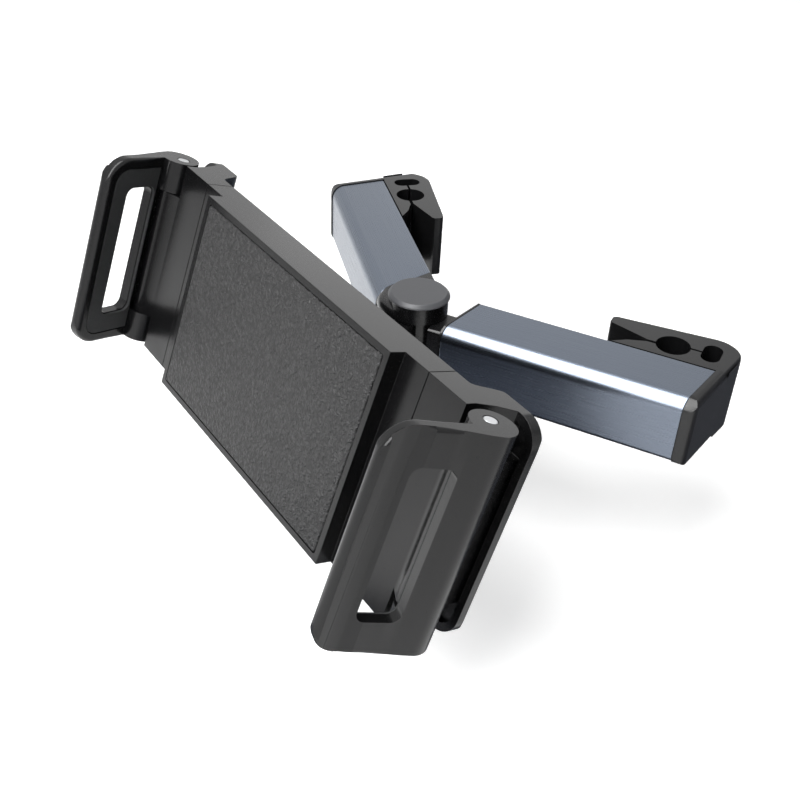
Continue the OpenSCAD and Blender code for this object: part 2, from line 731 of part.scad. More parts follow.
// Back cover with the ball socket
module back_cover() {
    play = 0.15;
    color("dimgray") in_holder() difference() {
        union() {
            translate([-seam_x + shell_wall + play, -half_h + shell_wall + play, -body_t])
                cube([body_l - 2 * (shell_wall + play), body_h - 2 * (shell_wall + play), cover_t]);
            // Socket housing, with the thread that takes the locking ring
            translate([0, 0, -ball_depth + 0.4]) cylinder(h = ball_depth - body_t, r = ring_thread_r);
            translate([0, 0, -body_t - 3.5]) cylinder(h = 3.6, r1 = ring_thread_r + 0.5, r2 = ring_thread_r + 6);
            // Axle of the pinion
            translate([0, 0, -body_t + cover_t - eps]) cylinder(h = tongue_a_z + tongue_t + 0.15 + body_t - cover_t, r = 2.2);
            // Posts that hold the springs' outer ends
            for (s = [-1, 1]) translate([-s * spring_post_x, s * -spring_y, -body_t + cover_t - eps]) cylinder(h = 5.4, r = 1.1);
        }
        translate([0, 0, -ball_depth]) sphere(r = socket_in, $fn = 96);
        translate([0, 0, -ball_depth - 1]) cylinder(h = cup_floor + 1, r = cup_r + fit);
        at_screws() translate([0, 0, -body_t - 1]) cylinder(h = cover_t + 2, r = screw_r + 0.2);
        at_screws() translate([0, 0, -body_t - eps]) cylinder(h = 1.2, r1 = screw_head_r + 0.2, r2 = screw_r + 0.2);
    }
}
module cover_screws() {
    screw_end = body_t - 3.4;
    color("silver") in_holder() at_screws() translate([0, 0, -body_t])
        rotate_extrude() polygon([
            [0, 0], [screw_head_r, 0], [screw_r, 1.2], [screw_r, cover_t - 0.2], [pilot_r - 0.05, cover_t], [pilot_r - 0.05, screw_end - 0.6],
            [0, screw_end]
        ]);
}

// Soft pad with a leather-like face, in the platform's recess
module grip_pad() {
    seam = 0.35;
    color("black") in_holder() translate([0, 0, platform_t - pad_inset]) linear_extrude(pad_inset + 0.15)
        rounded_plate(platform_l - 2 * pad_rim - 2 * seam, body_h - 2 * pad_rim - 2 * seam, 1);
}

// Rack and pinion that keep both brackets equally far out
function involute(rb, t) = [rb * (cos(t) + t * PI / 180 * sin(t)), rb * (sin(t) - t * PI / 180 * cos(t))];
function polar(p) = [norm(p), atan2(p[1], p[0])];
pressure = 20;
base_r = pitch_r * cos(pressure);
tip_r = pitch_r + addendum;
root_r = pitch_r - dedendum;
involute_end = sqrt(pow(tip_r / base_r, 2) - 1) * 180 / PI;
involute_pitch = polar(involute(base_r, tan(pressure) * 180 / PI))[1];
tooth_half = 90 / pinion_teeth - tooth_play / 4 / pitch_r * 180 / PI;
function flank(side) = [for (i = [0 : 6]) let (q = polar(involute(base_r, involute_end * i / 6)))
    [q[0], side * (tooth_half + involute_pitch - q[1])]];
function on_circle(q) = [q[0] * cos(q[1]), q[0] * sin(q[1])];
module pinion_tooth() {
    low = flank(-1);
    high = flank(1);
    polygon(concat(
        [on_circle([root_r - 0.4, low[0][1]])],
        [for (q = low) on_circle(q)],
        [for (i = [6 : -1 : 0]) on_circle(high[i])],
        [on_circle([root_r - 0.4, high[0][1]])]
    ));
}
module pinion() {
    z0 = tongue_b_z;
    h = tongue_a_z + tongue_t - z0;
    color("ivory") in_holder() translate([0, 0, z0]) linear_extrude(h) difference() {
        union() {
            circle(root_r);
            for (i = [0 : pinion_teeth - 1]) rotate([0, 0, 90 + i * 360 / pinion_teeth]) pinion_tooth();
        }
        circle(2.2 + fit);
    }
}
// Straight toothed edge; teeth point to +y from the pitch line at y = 0
module rack_teeth(first, last) {
    half_pitch_w = tooth_pitch / 4 - tooth_play / 4;
    lean = tan(pressure);
    for (k = [first : last]) translate([(k + 0.5) * tooth_pitch, 0])
        polygon([
            [-half_pitch_w - lean * (dedendum + 0.2), -dedendum - 0.2], [half_pitch_w + lean * (dedendum + 0.2), -dedendum - 0.2],
            [half_pitch_w - lean * addendum, addendum], [-half_pitch_w + lean * addendum, addendum]
        ]);
}
// One sliding tongue, seen from the front, for the bracket on the +x side
module tongue_plan(side) {
    window_h = tip_r + 1;
    x_in = -tongue_in - 3;
    scale([1, side]) {
        difference() {
            translate([x_in, -tongue_h / 2]) square([seam_x + 1 - x_in, tongue_h]);
            translate([-tongue_in, -pitch_r - dedendum]) square([tongue_in + tooth_pitch * 2 + 5, pitch_r + dedendum + window_h]);
        }
        translate([0, -pitch_r]) rack_teeth(-teeth_in, 1);
        // Ear for the spring
        translate([x_in, -spring_y - 2.4]) square([4, spring_y - tongue_h / 2 + 3]);
    }
}

// Extension spring: close coils between a post and the tongue's ear
module coil_spring(length) {
    wire = 0.45;
    coils = floor((length - 3) / (2 * wire));
    rotate([0, 90, 0]) {
        rotate_extrude() union() {
            for (i = [0 : coils - 1]) translate([spring_r - wire, 1.5 + (2 * i + 1) * wire]) circle(wire + 0.02, $fn = 14);
        }
    }
}
spring_l = spring_post_x - tongue_in - 3 - 1.4;
module spring_at(side) {
    z = -body_t + cover_t + 3.2;
    color("silver") in_holder() scale([side, side, 1]) translate([-spring_post_x + 1.3, -spring_y, z]) coil_spring(spring_l);
}
module right_spring() { spring_at(1); }
module left_spring() { spring_at(-1); }

// Hump from the seat's edge to where it touches the lug's round, seen from the pin
hump_x = pin_x - seat_edge_x;
hump_z = pin_deep;
hump_d = norm([hump_x, hump_z]);
hump_a = 180 - atan2(hump_z, hump_x) - acos(lug_r / hump_d);
hump_top = [lug_r * cos(hump_a), lug_r * sin(hump_a)];

// Bracket body: face flush with the centre part, back stepped out round the flap's seat
step_start = 6.5;
step_end = 13.5;
function s_step(t) = t * t * (3 - 2 * t);
module bracket_profile() {
    x0 = seam_x + gap;
    polygon(concat(
        [[x0, 0], [seat_edge_x, 0], [seat_edge_x, pin_z - 1], [seat_edge_x + 2.1, -10.2], [seat_edge_x + 5.6, lip_z], [outer_x, lip_z]],
        [[outer_x, -seat_t + 1.2], [outer_x - 1.2, -seat_t]],
        [for (i = [0 : 10]) let (t = 1 - i / 10) [x0 + step_start + (step_end - step_start) * t, -body_t - (seat_t - body_t) * s_step(t)]],
        [[x0, -body_t]]
    ));
}
module bracket_outline(grow = 0) {
    r = max(seat_corner + grow, 1);
    x0 = seam_x + gap;
    w = outer_x + grow - x0;
    h = body_h + 2 * grow;
    difference() {
        translate([x0, -h / 2]) square([w, h]);
        for (s = [-1, 1]) scale([1, s]) translate([x0 + w, -h / 2]) mirror([1, 0]) corner_square(r);
    }
}
module bracket(side, tongue_z) {
    pocket_in = seat_edge_x + 6.6;
    difference() {
        intersection() {
            up_holder(body_h + 2) bracket_profile();
            translate([0, 0, -seat_t - 1]) linear_extrude(seat_t + 2) bracket_outline();
        }
        // Sunk floor inside the lip
        intersection() {
            translate([0, 0, floor_z]) linear_extrude(20) bracket_outline(-lip_w);
            translate([0, -half_h, 0]) rotate([-90, 0, 0]) linear_extrude(body_h)
                polygon([[pocket_in, -floor_z + 1], [pocket_in - 0.8, -lip_z - 0.1], [outer_x + 5, -lip_z - 0.1], [outer_x + 5, -floor_z + 1]]);
        }
    }
    // Lug that carries the flap's pin: a hump that rises from the face, on a foot that stands on the floor
    difference() {
        union() {
            translate([pin_x, 0, pin_z]) rotate([90, 0, 0]) cylinder(h = lug_h, r = lug_r, center = true);
            translate([pin_x - 3.4, -lug_h / 2, floor_z - eps]) cube([6.8, lug_h, pin_z - floor_z]);
            translate([pin_x, 0, pin_z]) up_holder(lug_h) polygon([
                [-hump_x - 1, hump_z - 3], [-hump_x - 1, hump_z], [-hump_x, hump_z], hump_top, [0, 0],
                [0, -lug_r + 1], [-hump_x + 1.2, -lug_r + 1]
            ]);
        }
        translate([pin_x, 0, pin_z]) rotate([90, 0, 0]) cylinder(h = lug_h + 2, r = pin_r + fit, center = true);
    }
    translate([0, 0, tongue_z]) linear_extrude(tongue_t) tongue_plan(side);
}
module right_bracket() { color("dimgray") in_holder() union() { bracket(1, tongue_a_z); } }
module left_bracket() { color("dimgray") in_holder() mirror([1, 0, 0]) union() { bracket(-1, tongue_b_z); } }

// Flap, drawn in its own frame: x out of its outer face, y along the pin, z from the pin to the tip
flap_bow = 0.7;
tip_round = 2.4;
flap_in = flap_out - flap_t;
function bow(s) = flap_bow * sin(180 * min(max(s, 0) / flap_d, 1));
module flap_profile() {
    last = flap_d - tip_round;
    polygon(concat(
        [for (i = [0 : 8]) let (s = last * i / 8) [flap_out - bow(s), s]],
        [for (i = [8 : -1 : 0]) let (s = last * i / 8) [flap_in - bow(s), s]]
    ));
    translate([(flap_out + flap_in) / 2 - bow(last), last]) scale([flap_t / 2 / tip_round, 1]) circle(tip_round);
    translate([barrel_shift, 0]) circle(barrel_flap_r);
}
module flap_outline(inset) {
    r = flap_corner - inset;
    h = flap_h - 2 * inset;
    top = flap_d - inset;
    difference() {
        translate([-h / 2, -barrel_flap_r - 5]) square([h, top + barrel_flap_r + 5]);
        for (s = [-1, 1]) scale([s, 1]) translate([-h / 2, top]) mirror([0, 1]) corner_square(r);
    }
}
// Turns a drawing of (y, z) to face x and gives it a depth
module facing_x(depth) { rotate([90, 0, 90]) linear_extrude(depth) children(); }
pad_recess = 1.5;
module window_plan(grow = 0) {
    translate([0, window_s + window_w / 2]) rounded_plate(window_l + 2 * grow, window_w + 2 * grow, 3.5);
}
pad_low = window_s - 1.4;
// The hump's slope as the flap meets it when it lies flat on the holder
swing_gap = gap + 0.05;
swing_slope = [hump_top[1] - hump_z, hump_top[0] + hump_x];
swing_out = [swing_slope[1], swing_slope[0]] * (swing_gap / norm(swing_slope));
swing_edge = [hump_z, hump_x] + [swing_out[0], swing_out[1]];
swing_top = [hump_top[1], -hump_top[0]] + [swing_out[0], swing_out[1]];
module flap() {
    difference() {
        intersection() {
            up_holder(flap_h) flap_profile();
            translate([-20, 0, 0]) facing_x(40) flap_outline(0);
        }
        translate([-20, 0, 0]) facing_x(40) window_plan();
        // Recess for the soft pad
        translate([-20 + flap_in + pad_recess - flap_bow, 0, 0]) intersection() {
            facing_x(20) flap_outline(flap_rim);
            translate([0, -flap_h / 2, pad_low]) cube([20, flap_h, flap_d]);
        }
        // Room for the bracket's hump and its foot, through the whole swing
        rotate([90, 0, 0]) cylinder(h = lug_h + 2 * gap, r = lug_r + gap, center = true);
        rotate([90, 0, 0]) linear_extrude(lug_h + 2 * gap, center = true)
            polygon([[0, 0], [14, -14.6], [-2, -24], [-22, -14], [-22, hump_d + 0.7], swing_edge + [0, 0.7], swing_edge, swing_top]);
        rotate([90, 0, 0]) cylinder(h = flap_h + 2, r = pin_r + fit, center = true);
    }
}
module flap_pin() {
    half = flap_h / 2 - 0.1;
    color("silver") rotate([90, 0, 0]) translate([0, 0, -half])
        rotate_extrude() polygon([[0, 0], [pin_r - 0.3, 0], [pin_r, 0.3], [pin_r, 2 * half - 0.3], [pin_r - 0.3, 2 * half], [0, 2 * half]]);
}
// Soft pad glued into the recess, round the window
module flap_pad() {
    thick = 1.2;
    side = 0.35;
    color("black") difference() {
        translate([flap_in + pad_recess - flap_bow - thick, 0, 0]) intersection() {
            facing_x(thick) flap_outline(flap_rim + side);
            translate([-1, -flap_h / 2, pad_low + side]) cube([20, flap_h, flap_d]);
        }
        translate([-20, 0, 0]) facing_x(40) window_plan(0.4);
    }
}
module right_flap() { color("dimgray") in_right_flap() flap(); }
module left_flap() { color("dimgray") in_left_flap() flap(); }
module right_flap_pin() { in_right_flap() flap_pin(); }
module left_flap_pin() { in_left_flap() flap_pin(); }
module right_flap_pad() { in_right_flap() flap_pad(); }
module left_flap_pad() { in_left_flap() flap_pad(); }

right_sleeve();
right_core();
right_hook();
right_hook_screws();
left_sleeve();
left_core();
left_hook();
left_hook_screws();
hub_body();
hub_cap();
pivot_bolt();
pivot_nut();
hub_washers();
bottom_cap();
ball_stud();
ball_liner();
seat_cup();
locking_ring();
front_shell();
back_cover();
cover_screws();
grip_pad();
pinion();
left_spring();
right_spring();
left_bracket();
right_bracket();
left_flap();
left_flap_pin();
left_flap_pad();
right_flap();
right_flap_pin();
right_flap_pad();
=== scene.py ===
"""Looks of a tablet mount that clips to the two posts of a car headrest.

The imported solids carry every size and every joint. This script gives each visible
solid its moulded edges, its finish and its fine detail, and sets up a plain studio.
"""

from __future__ import annotations

import json
import logging
import math
from dataclasses import InitVar, dataclass
from enum import Enum
from typing import Any, Callable, Iterable, Sequence

import bmesh
import bpy
from mathutils import Matrix, Vector

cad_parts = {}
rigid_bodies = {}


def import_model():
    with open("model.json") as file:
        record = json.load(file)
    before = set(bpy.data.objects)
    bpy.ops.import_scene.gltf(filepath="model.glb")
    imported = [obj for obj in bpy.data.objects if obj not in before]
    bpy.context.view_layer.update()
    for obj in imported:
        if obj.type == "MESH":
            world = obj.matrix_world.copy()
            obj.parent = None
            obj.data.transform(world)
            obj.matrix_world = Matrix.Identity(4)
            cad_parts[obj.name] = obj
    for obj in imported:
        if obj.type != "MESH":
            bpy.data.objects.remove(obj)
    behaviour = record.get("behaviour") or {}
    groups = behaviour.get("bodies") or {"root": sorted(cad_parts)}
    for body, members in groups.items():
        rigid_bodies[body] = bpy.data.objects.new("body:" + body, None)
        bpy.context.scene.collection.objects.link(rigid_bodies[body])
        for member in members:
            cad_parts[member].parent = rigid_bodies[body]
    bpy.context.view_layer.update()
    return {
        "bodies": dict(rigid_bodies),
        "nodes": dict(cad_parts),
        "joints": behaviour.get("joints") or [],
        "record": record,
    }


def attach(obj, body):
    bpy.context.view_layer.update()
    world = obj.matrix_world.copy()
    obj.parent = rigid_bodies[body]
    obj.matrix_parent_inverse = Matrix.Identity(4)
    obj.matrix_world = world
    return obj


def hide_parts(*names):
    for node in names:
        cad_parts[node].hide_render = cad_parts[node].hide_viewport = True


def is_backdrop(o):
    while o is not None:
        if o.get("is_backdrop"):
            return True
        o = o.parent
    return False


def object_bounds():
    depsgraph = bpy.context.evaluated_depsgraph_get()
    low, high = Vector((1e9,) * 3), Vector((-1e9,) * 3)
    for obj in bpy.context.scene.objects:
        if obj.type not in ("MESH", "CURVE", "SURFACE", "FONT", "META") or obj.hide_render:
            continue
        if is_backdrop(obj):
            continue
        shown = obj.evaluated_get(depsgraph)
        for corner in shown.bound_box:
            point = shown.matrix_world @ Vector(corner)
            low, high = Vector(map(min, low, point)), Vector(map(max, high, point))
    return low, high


LOG = logging.getLogger("tablet_mount")
MM = 0.001
Colour = tuple[float, float, float, float]
ACROSS = Vector((1.0, 0.0, 0.0))
WHITE = (1.0, 1.0, 1.0, 1.0)


class Side(Enum):
    """The two halves of the mount, with the sign of their x."""

    RIGHT = 1
    LEFT = -1

    @property
    def word(self) -> str:
        """The side's name as the nodes spell it."""
        return self.name.lower()


# Frames of the moving assemblies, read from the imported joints


class Frames:
    """Places and directions of the arms, the holder and the flaps at rest, in metres."""

    def __init__(self, joints: Sequence[dict[str, Any]]) -> None:
        """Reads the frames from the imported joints.

        Args:
            joints: The record's joints.
        """
        by_name = {joint["name"]: joint for joint in joints}
        self.hub = Vector(by_name["hub_turn"]["pos_m"])
        self.ball = Vector(by_name["ball_tilt"]["pos_m"])
        out = Vector(by_name["holder_roll"]["axis"]).normalized()
        along = Vector(by_name["right_bracket_slide"]["axis"]).normalized()
        up = out.cross(along).normalized()
        turn = Matrix((along, up, out)).transposed().to_4x4()
        face = self.ball + out * (Holder.ball_depth * MM)
        self.holder = Matrix.Translation(face) @ turn
        self.flaps: dict[Side, Matrix] = {}
        for side in Side:
            joint = by_name[f"{side.word}_flap_fold"]
            low, high = joint["range_deg"]
            lean = high if side is Side.RIGHT else -low
            pin = Vector(joint["pos_m"])
            mirror = Matrix.Scale(side.value, 4, ACROSS)
            self.flaps[side] = (
                Matrix.Translation(pin) @ turn @ mirror @ Matrix.Rotation(-math.radians(lean), 4, "Y")
            )
        angle = math.atan2(-self.hub.y, -self.hub.x) - math.atan2(Arm.post_v, Arm.post_u)
        self.arms: dict[Side, Matrix] = {}
        for side in Side:
            mirror = Matrix.Scale(side.value, 4, ACROSS)
            self.arms[side] = Matrix.Translation(self.hub) @ mirror @ Matrix.Rotation(angle, 4, "Z")


# Materials


def linear(code: str) -> Colour:
    """Turns an sRGB hex colour into linear values.

    Args:
        code: Six hex digits, such as "5b6b80".

    Returns:
        Linear red, green, blue and an alpha of 1.
    """
    parts = [int(code[i : i + 2], 16) / 255 for i in (0, 2, 4)]
    red, green, blue = (c / 12.92 if c <= 0.04045 else ((c + 0.055) / 1.055) ** 2.4 for c in parts)
    return (red, green, blue, 1.0)


def add_node(
    tree: bpy.types.NodeTree, kind: str, links: dict[Any, Any] | None = None, **settings: Any
) -> bpy.types.Node:
    """Adds one node to a tree.

    Args:
        tree: The material's or world's tree.
        kind: Blender's name for the node type.
        links: Values and output sockets for its inputs, by input name or number.
        settings: Attributes of the node itself.

    Returns:
        The new node.
    """
    made = tree.nodes.new(kind)
    for name, value in settings.items():
        setattr(made, name, value)
    for key, value in (links or {}).items():
        socket = made.inputs[key]
        if isinstance(value, bpy.types.NodeSocket):
            tree.links.new(value, socket)
        else:
            socket.default_value = value
    return made


def ramp(node: bpy.types.Node, stops: Sequence[tuple[float, Colour]]) -> bpy.types.Node:
    """Sets the stops of a colour ramp.

    Args:
        node: The colour ramp.
        stops: Places from 0 to 1 with their colours.

    Returns:
        The same node.
    """
    line = node.color_ramp
    while len(line.elements) > len(stops):
        line.elements.remove(line.elements[-1])
    while len(line.elements) < len(stops):
        line.elements.new(1.0)
    for element, (place, colour) in zip(line.elements, stops):
        element.position = place
        element.color = colour
    return node


def open_rays(tree: bpy.types.NodeTree) -> bpy.types.NodeSocket:
    """Tells rays from the camera, from reflections and through glass from all others.

    Args:
        tree: The material's or world's tree.

    Returns:
        A socket that is 1 for those rays and 0 for the rest.
    """
    path = add_node(tree, "ShaderNodeLightPath")
    seen = add_node(tree, "ShaderNodeMath", {
        0: path.outputs["Is Camera Ray"], 1: path.outputs["Is Glossy Ray"]}, operation="MAXIMUM")
    seen = add_node(tree, "ShaderNodeMath", {
        0: seen.outputs[0], 1: path.outputs["Is Transmission Ray"]}, operation="MAXIMUM")
    return seen.outputs[0]


class Finish:
    """A material with one surface shader, filled by a subclass."""

    name = "finish"

    def start(self) -> tuple[bpy.types.Material, bpy.types.NodeTree, bpy.types.Node]:
        """Makes the empty material.

        Returns:
            The material, its tree and its surface shader.
        """
        material = bpy.data.materials.new(self.name)
        material.use_nodes = True
        tree = material.node_tree
        tree.nodes.clear()
        shader = add_node(tree, "ShaderNodeBsdfPrincipled")
        add_node(tree, "ShaderNodeOutputMaterial", {"Surface": shader.outputs[0]})
        return material, tree, shader

    def make(self) -> bpy.types.Material:
        """Builds the material."""
        raise NotImplementedError


@dataclass(frozen=True)
class AnodisedAluminium(Finish):
    """Extruded aluminium, brushed along the arm and anodised blue-grey.

    Fine lines along the arm stretch each highlight across it, and the dye is even. The lines
    are drawn coarser than the real ones so that they show.
    """

    name: str = "anodised_aluminium"
    colour: str = "6e7580"
    dark: str = "69707c"
    roughness: float = 0.27
    line_mm: float = 0.22
    run_mm: float = 40.0

    def make(self) -> bpy.types.Material:
        """Builds the brushed metal from the piece's own lay attribute, in millimetres along the arm."""
        material, tree, shader = self.start()
        lay = add_node(tree, "ShaderNodeAttribute", attribute_name="lay")
        place = add_node(tree, "ShaderNodeMapping", {
            0: lay.outputs["Vector"], "Scale": (1 / self.run_mm, 1 / self.line_mm, 1 / self.line_mm)})
        lines = add_node(tree, "ShaderNodeTexNoise", {
            "Vector": place.outputs[0], "Scale": 1.0, "Detail": 3.0, "Roughness": 0.6})
        cloud = add_node(tree, "ShaderNodeTexNoise", {
            "Vector": lay.outputs["Vector"], "Scale": 0.06, "Detail": 1.0})
        tone = ramp(
            add_node(tree, "ShaderNodeValToRGB", {0: lines.outputs[0]}),
            [(0.3, linear(self.dark)), (0.7, linear(self.colour))])
        shade = add_node(tree, "ShaderNodeMix", {
            0: cloud.outputs[0], 6: tone.outputs[0], 7: linear(self.colour)}, data_type="RGBA")
        tree.links.new(shade.outputs[2], shader.inputs["Base Color"])
        rough = add_node(tree, "ShaderNodeMapRange", {
            0: lines.outputs[0], "To Min": self.roughness - 0.03, "To Max": self.roughness + 0.05})
        tree.links.new(rough.outputs[0], shader.inputs["Roughness"])
        bump = add_node(tree, "ShaderNodeBump", {
            "Height": lines.outputs[0], "Strength": 0.04, "Distance": 0.0001})
        tree.links.new(bump.outputs[0], shader.inputs["Normal"])
        shader.inputs["Metallic"].default_value = 1.0
        return material


@dataclass(frozen=True)
class MouldedPlastic(Finish):
    """Injection-moulded ABS from a spark-eroded mould: a fine even grain and a soft sheen."""

    name: str = "moulded_abs"
    colour: str = "2b2c2d"
    worn: str = "343536"
    roughness: float = 0.5
    grain_mm: float = 0.45
    sheen: float = 0.5
    strength: float = 0.12

    def make(self) -> bpy.types.Material:
        """Builds the grained plastic; the grain is drawn coarser than the real 0.05 mm so that it shows."""
        material, tree, shader = self.start()
        place = add_node(tree, "ShaderNodeTexCoord")
        grain = add_node(tree, "ShaderNodeTexNoise", {
            "Vector": place.outputs["Object"], "Scale": 1 / (self.grain_mm * MM), "Detail": 2.0,
            "Roughness": 0.55})
        cloud = add_node(tree, "ShaderNodeTexNoise", {
            "Vector": place.outputs["Object"], "Scale": 45.0, "Detail": 2.0})
        shade = add_node(tree, "ShaderNodeMix", {
            0: cloud.outputs[0], 6: linear(self.colour), 7: linear(self.worn)}, data_type="RGBA")
        tree.links.new(shade.outputs[2], shader.inputs["Base Color"])
        rough = add_node(tree, "ShaderNodeMapRange", {
            0: grain.outputs[0], "To Min": self.roughness - 0.06, "To Max": self.roughness + 0.06})
        tree.links.new(rough.outputs[0], shader.inputs["Roughness"])
        bump = add_node(tree, "ShaderNodeBump", {
            "Height": grain.outputs[0], "Strength": self.strength, "Distance": 0.0002})
        tree.links.new(bump.outputs[0], shader.inputs["Normal"])
        shader.inputs["IOR"].default_value = 1.45
        shader.inputs["Specular IOR Level"].default_value = self.sheen
        return material


@dataclass(frozen=True)
class LeatherGrain(Finish):
    """Grained imitation leather: domed pebbles about 1.7 mm across, smaller ones, and creases darkened by
    painted shade.
    """

    name: str = "grained_leatherette"
    colour: str = "222223"
    # Colour of the creases between the domes: painted shade, darker than the hide itself.
    crease: str = "0f0f10"
    roughness: float = 0.44
    pebble_mm: float = 1.7
    wander_mm: float = 1.6
    height_mm: float = 0.8

    def make(self) -> bpy.types.Material:
        """Builds the pebbled hide: domes of two sizes, bent by noise, over a soft swell."""
        material, tree, shader = self.start()
        place = add_node(tree, "ShaderNodeTexCoord")
        spot = place.outputs["Object"]
        wander = add_node(tree, "ShaderNodeTexNoise", {"Vector": spot, "Scale": 700.0, "Detail": 3.0})
        shift = add_node(tree, "ShaderNodeVectorMath", {
            0: wander.outputs[1], 1: (self.wander_mm * MM,) * 3}, operation="MULTIPLY")
        bent = add_node(tree, "ShaderNodeVectorMath", {0: spot, 1: shift.outputs[0]}, operation="ADD")
        cells = add_node(tree, "ShaderNodeTexVoronoi", {
            "Vector": bent.outputs[0], "Scale": 1 / (self.pebble_mm * MM), "Randomness": 1.0}, feature="F1")
        fine = add_node(tree, "ShaderNodeTexVoronoi", {
            "Vector": bent.outputs[0], "Scale": 2.1 / (self.pebble_mm * MM), "Randomness": 1.0}, feature="F1")
        swell = add_node(tree, "ShaderNodeTexNoise", {
            "Vector": spot, "Scale": 260.0, "Detail": 3.0, "Roughness": 0.6})
        both = add_node(tree, "ShaderNodeMath", {
            0: fine.outputs[0], 1: 0.55, 2: cells.outputs[0]}, operation="MULTIPLY_ADD")
        dome = add_node(tree, "ShaderNodeMapRange", {
            0: both.outputs[0], "From Min": 0.15, "From Max": 0.95, "To Min": 1.0, "To Max": 0.0})
        high = add_node(tree, "ShaderNodeMath", {
            0: swell.outputs[0], 1: 0.9, 2: dome.outputs[0]}, operation="MULTIPLY_ADD")
        # The low edges of each dome take the crease colour: painted shade in the hollows of the grain.
        tone = add_node(tree, "ShaderNodeMix", {
            0: dome.outputs[0], 6: linear(self.crease), 7: linear(self.colour)}, data_type="RGBA")
        tree.links.new(tone.outputs[2], shader.inputs["Base Color"])
        rough = add_node(tree, "ShaderNodeMapRange", {
            0: dome.outputs[0], "To Min": self.roughness + 0.12, "To Max": self.roughness - 0.06})
        tree.links.new(rough.outputs[0], shader.inputs["Roughness"])
        bump = add_node(tree, "ShaderNodeBump", {
            "Height": high.outputs[0], "Strength": 1.0, "Distance": self.height_mm * MM})
        tree.links.new(bump.outputs[0], shader.inputs["Normal"])
        return material


@dataclass(frozen=True)
class SoftRubber(Finish):
    """Silicone rubber: matt, a little dusty, with a faint moulded haze."""

    name: str = "silicone_rubber"
    colour: str = "1f2021"
    roughness: float = 0.78

    def make(self) -> bpy.types.Material:
        """Builds the matt rubber."""
        material, tree, shader = self.start()
        place = add_node(tree, "ShaderNodeTexCoord")
        haze = add_node(tree, "ShaderNodeTexNoise", {
            "Vector": place.outputs["Object"], "Scale": 900.0, "Detail": 3.0})
        tone = add_node(tree, "ShaderNodeMix", {
            0: haze.outputs[0], 6: linear(self.colour), 7: linear("2a2b2c")}, data_type="RGBA")
        tree.links.new(tone.outputs[2], shader.inputs["Base Color"])
        bump = add_node(tree, "ShaderNodeBump", {
            "Height": haze.outputs[0], "Strength": 0.1, "Distance": 0.0002})
        tree.links.new(bump.outputs[0], shader.inputs["Normal"])
        shader.inputs["Roughness"].default_value = self.roughness
        return material


@dataclass(frozen=True)
class TurnedSteel(Finish):
    """Steel turned on a lathe and plated: bright, with fine tool marks."""

    name: str = "turned_steel"
    colour: str = "c9cacc"
    roughness: float = 0.25
    mark_mm: float = 0.3

    def make(self) -> bpy.types.Material:
        """Builds the bright metal with its tool marks."""
        material, tree, shader = self.start()
        place = add_node(tree, "ShaderNodeTexCoord")
        marks = add_node(tree, "ShaderNodeTexNoise", {
            "Vector": place.outputs["Object"], "Scale": 1 / (self.mark_mm * MM), "Detail": 2.0})
        tone = add_node(tree, "ShaderNodeMix", {
            0: marks.outputs[0], 6: linear(self.colour), 7: linear("b4b6b9")}, data_type="RGBA")
        tree.links.new(tone.outputs[2], shader.inputs["Base Color"])
        rough = add_node(tree, "ShaderNodeMapRange", {
            0: marks.outputs[0], "To Min": self.roughness - 0.06, "To Max": self.roughness + 0.1})
        tree.links.new(rough.outputs[0], shader.inputs["Roughness"])
        shader.inputs["Metallic"].default_value = 1.0
        return material


@dataclass(frozen=True)
class NaturalNylon(Finish):
    """Undyed nylon: off-white, slightly waxy."""

    name: str = "natural_nylon"
    colour: str = "dcd9cf"

    def make(self) -> bpy.types.Material:
        """Builds the waxy nylon."""
        material, tree, shader = self.start()
        place = add_node(tree, "ShaderNodeTexCoord")
        cloud = add_node(tree, "ShaderNodeTexNoise", {
            "Vector": place.outputs["Object"], "Scale": 300.0, "Detail": 2.0})
        tone = add_node(tree, "ShaderNodeMix", {
            0: cloud.outputs[0], 6: linear(self.colour), 7: linear("cfcbc0")}, data_type="RGBA")
        tree.links.new(tone.outputs[2], shader.inputs["Base Color"])
        shader.inputs["Roughness"].default_value = 0.45
        shader.inputs["IOR"].default_value = 1.53
        return material


@dataclass(frozen=True)
class StudioFloor(Finish):
    """White studio paper that keeps a soft shadow and stays white where it is seen."""

    name: str = "white_paper"
    lift: float = 0.5

    def make(self) -> bpy.types.Material:
        """Builds the paper; rays from the camera, reflections and glass get the lift to white."""
        material, tree, shader = self.start()
        place = add_node(tree, "ShaderNodeTexCoord")
        fibre = add_node(tree, "ShaderNodeTexNoise", {
            "Vector": place.outputs["Object"], "Scale": 60.0, "Detail": 2.0})
        tone = add_node(tree, "ShaderNodeMix", {
            0: fibre.outputs[0], 6: linear("fbfbfb"), 7: linear("f7f7f7")}, data_type="RGBA")
        tree.links.new(tone.outputs[2], shader.inputs["Base Color"])
        shader.inputs["Roughness"].default_value = 0.95
        lift = add_node(tree, "ShaderNodeMath", {0: open_rays(tree), 1: self.lift}, operation="MULTIPLY")
        tree.links.new(lift.outputs[0], shader.inputs["Emission Strength"])
        shader.inputs["Emission Color"].default_value = WHITE
        return material


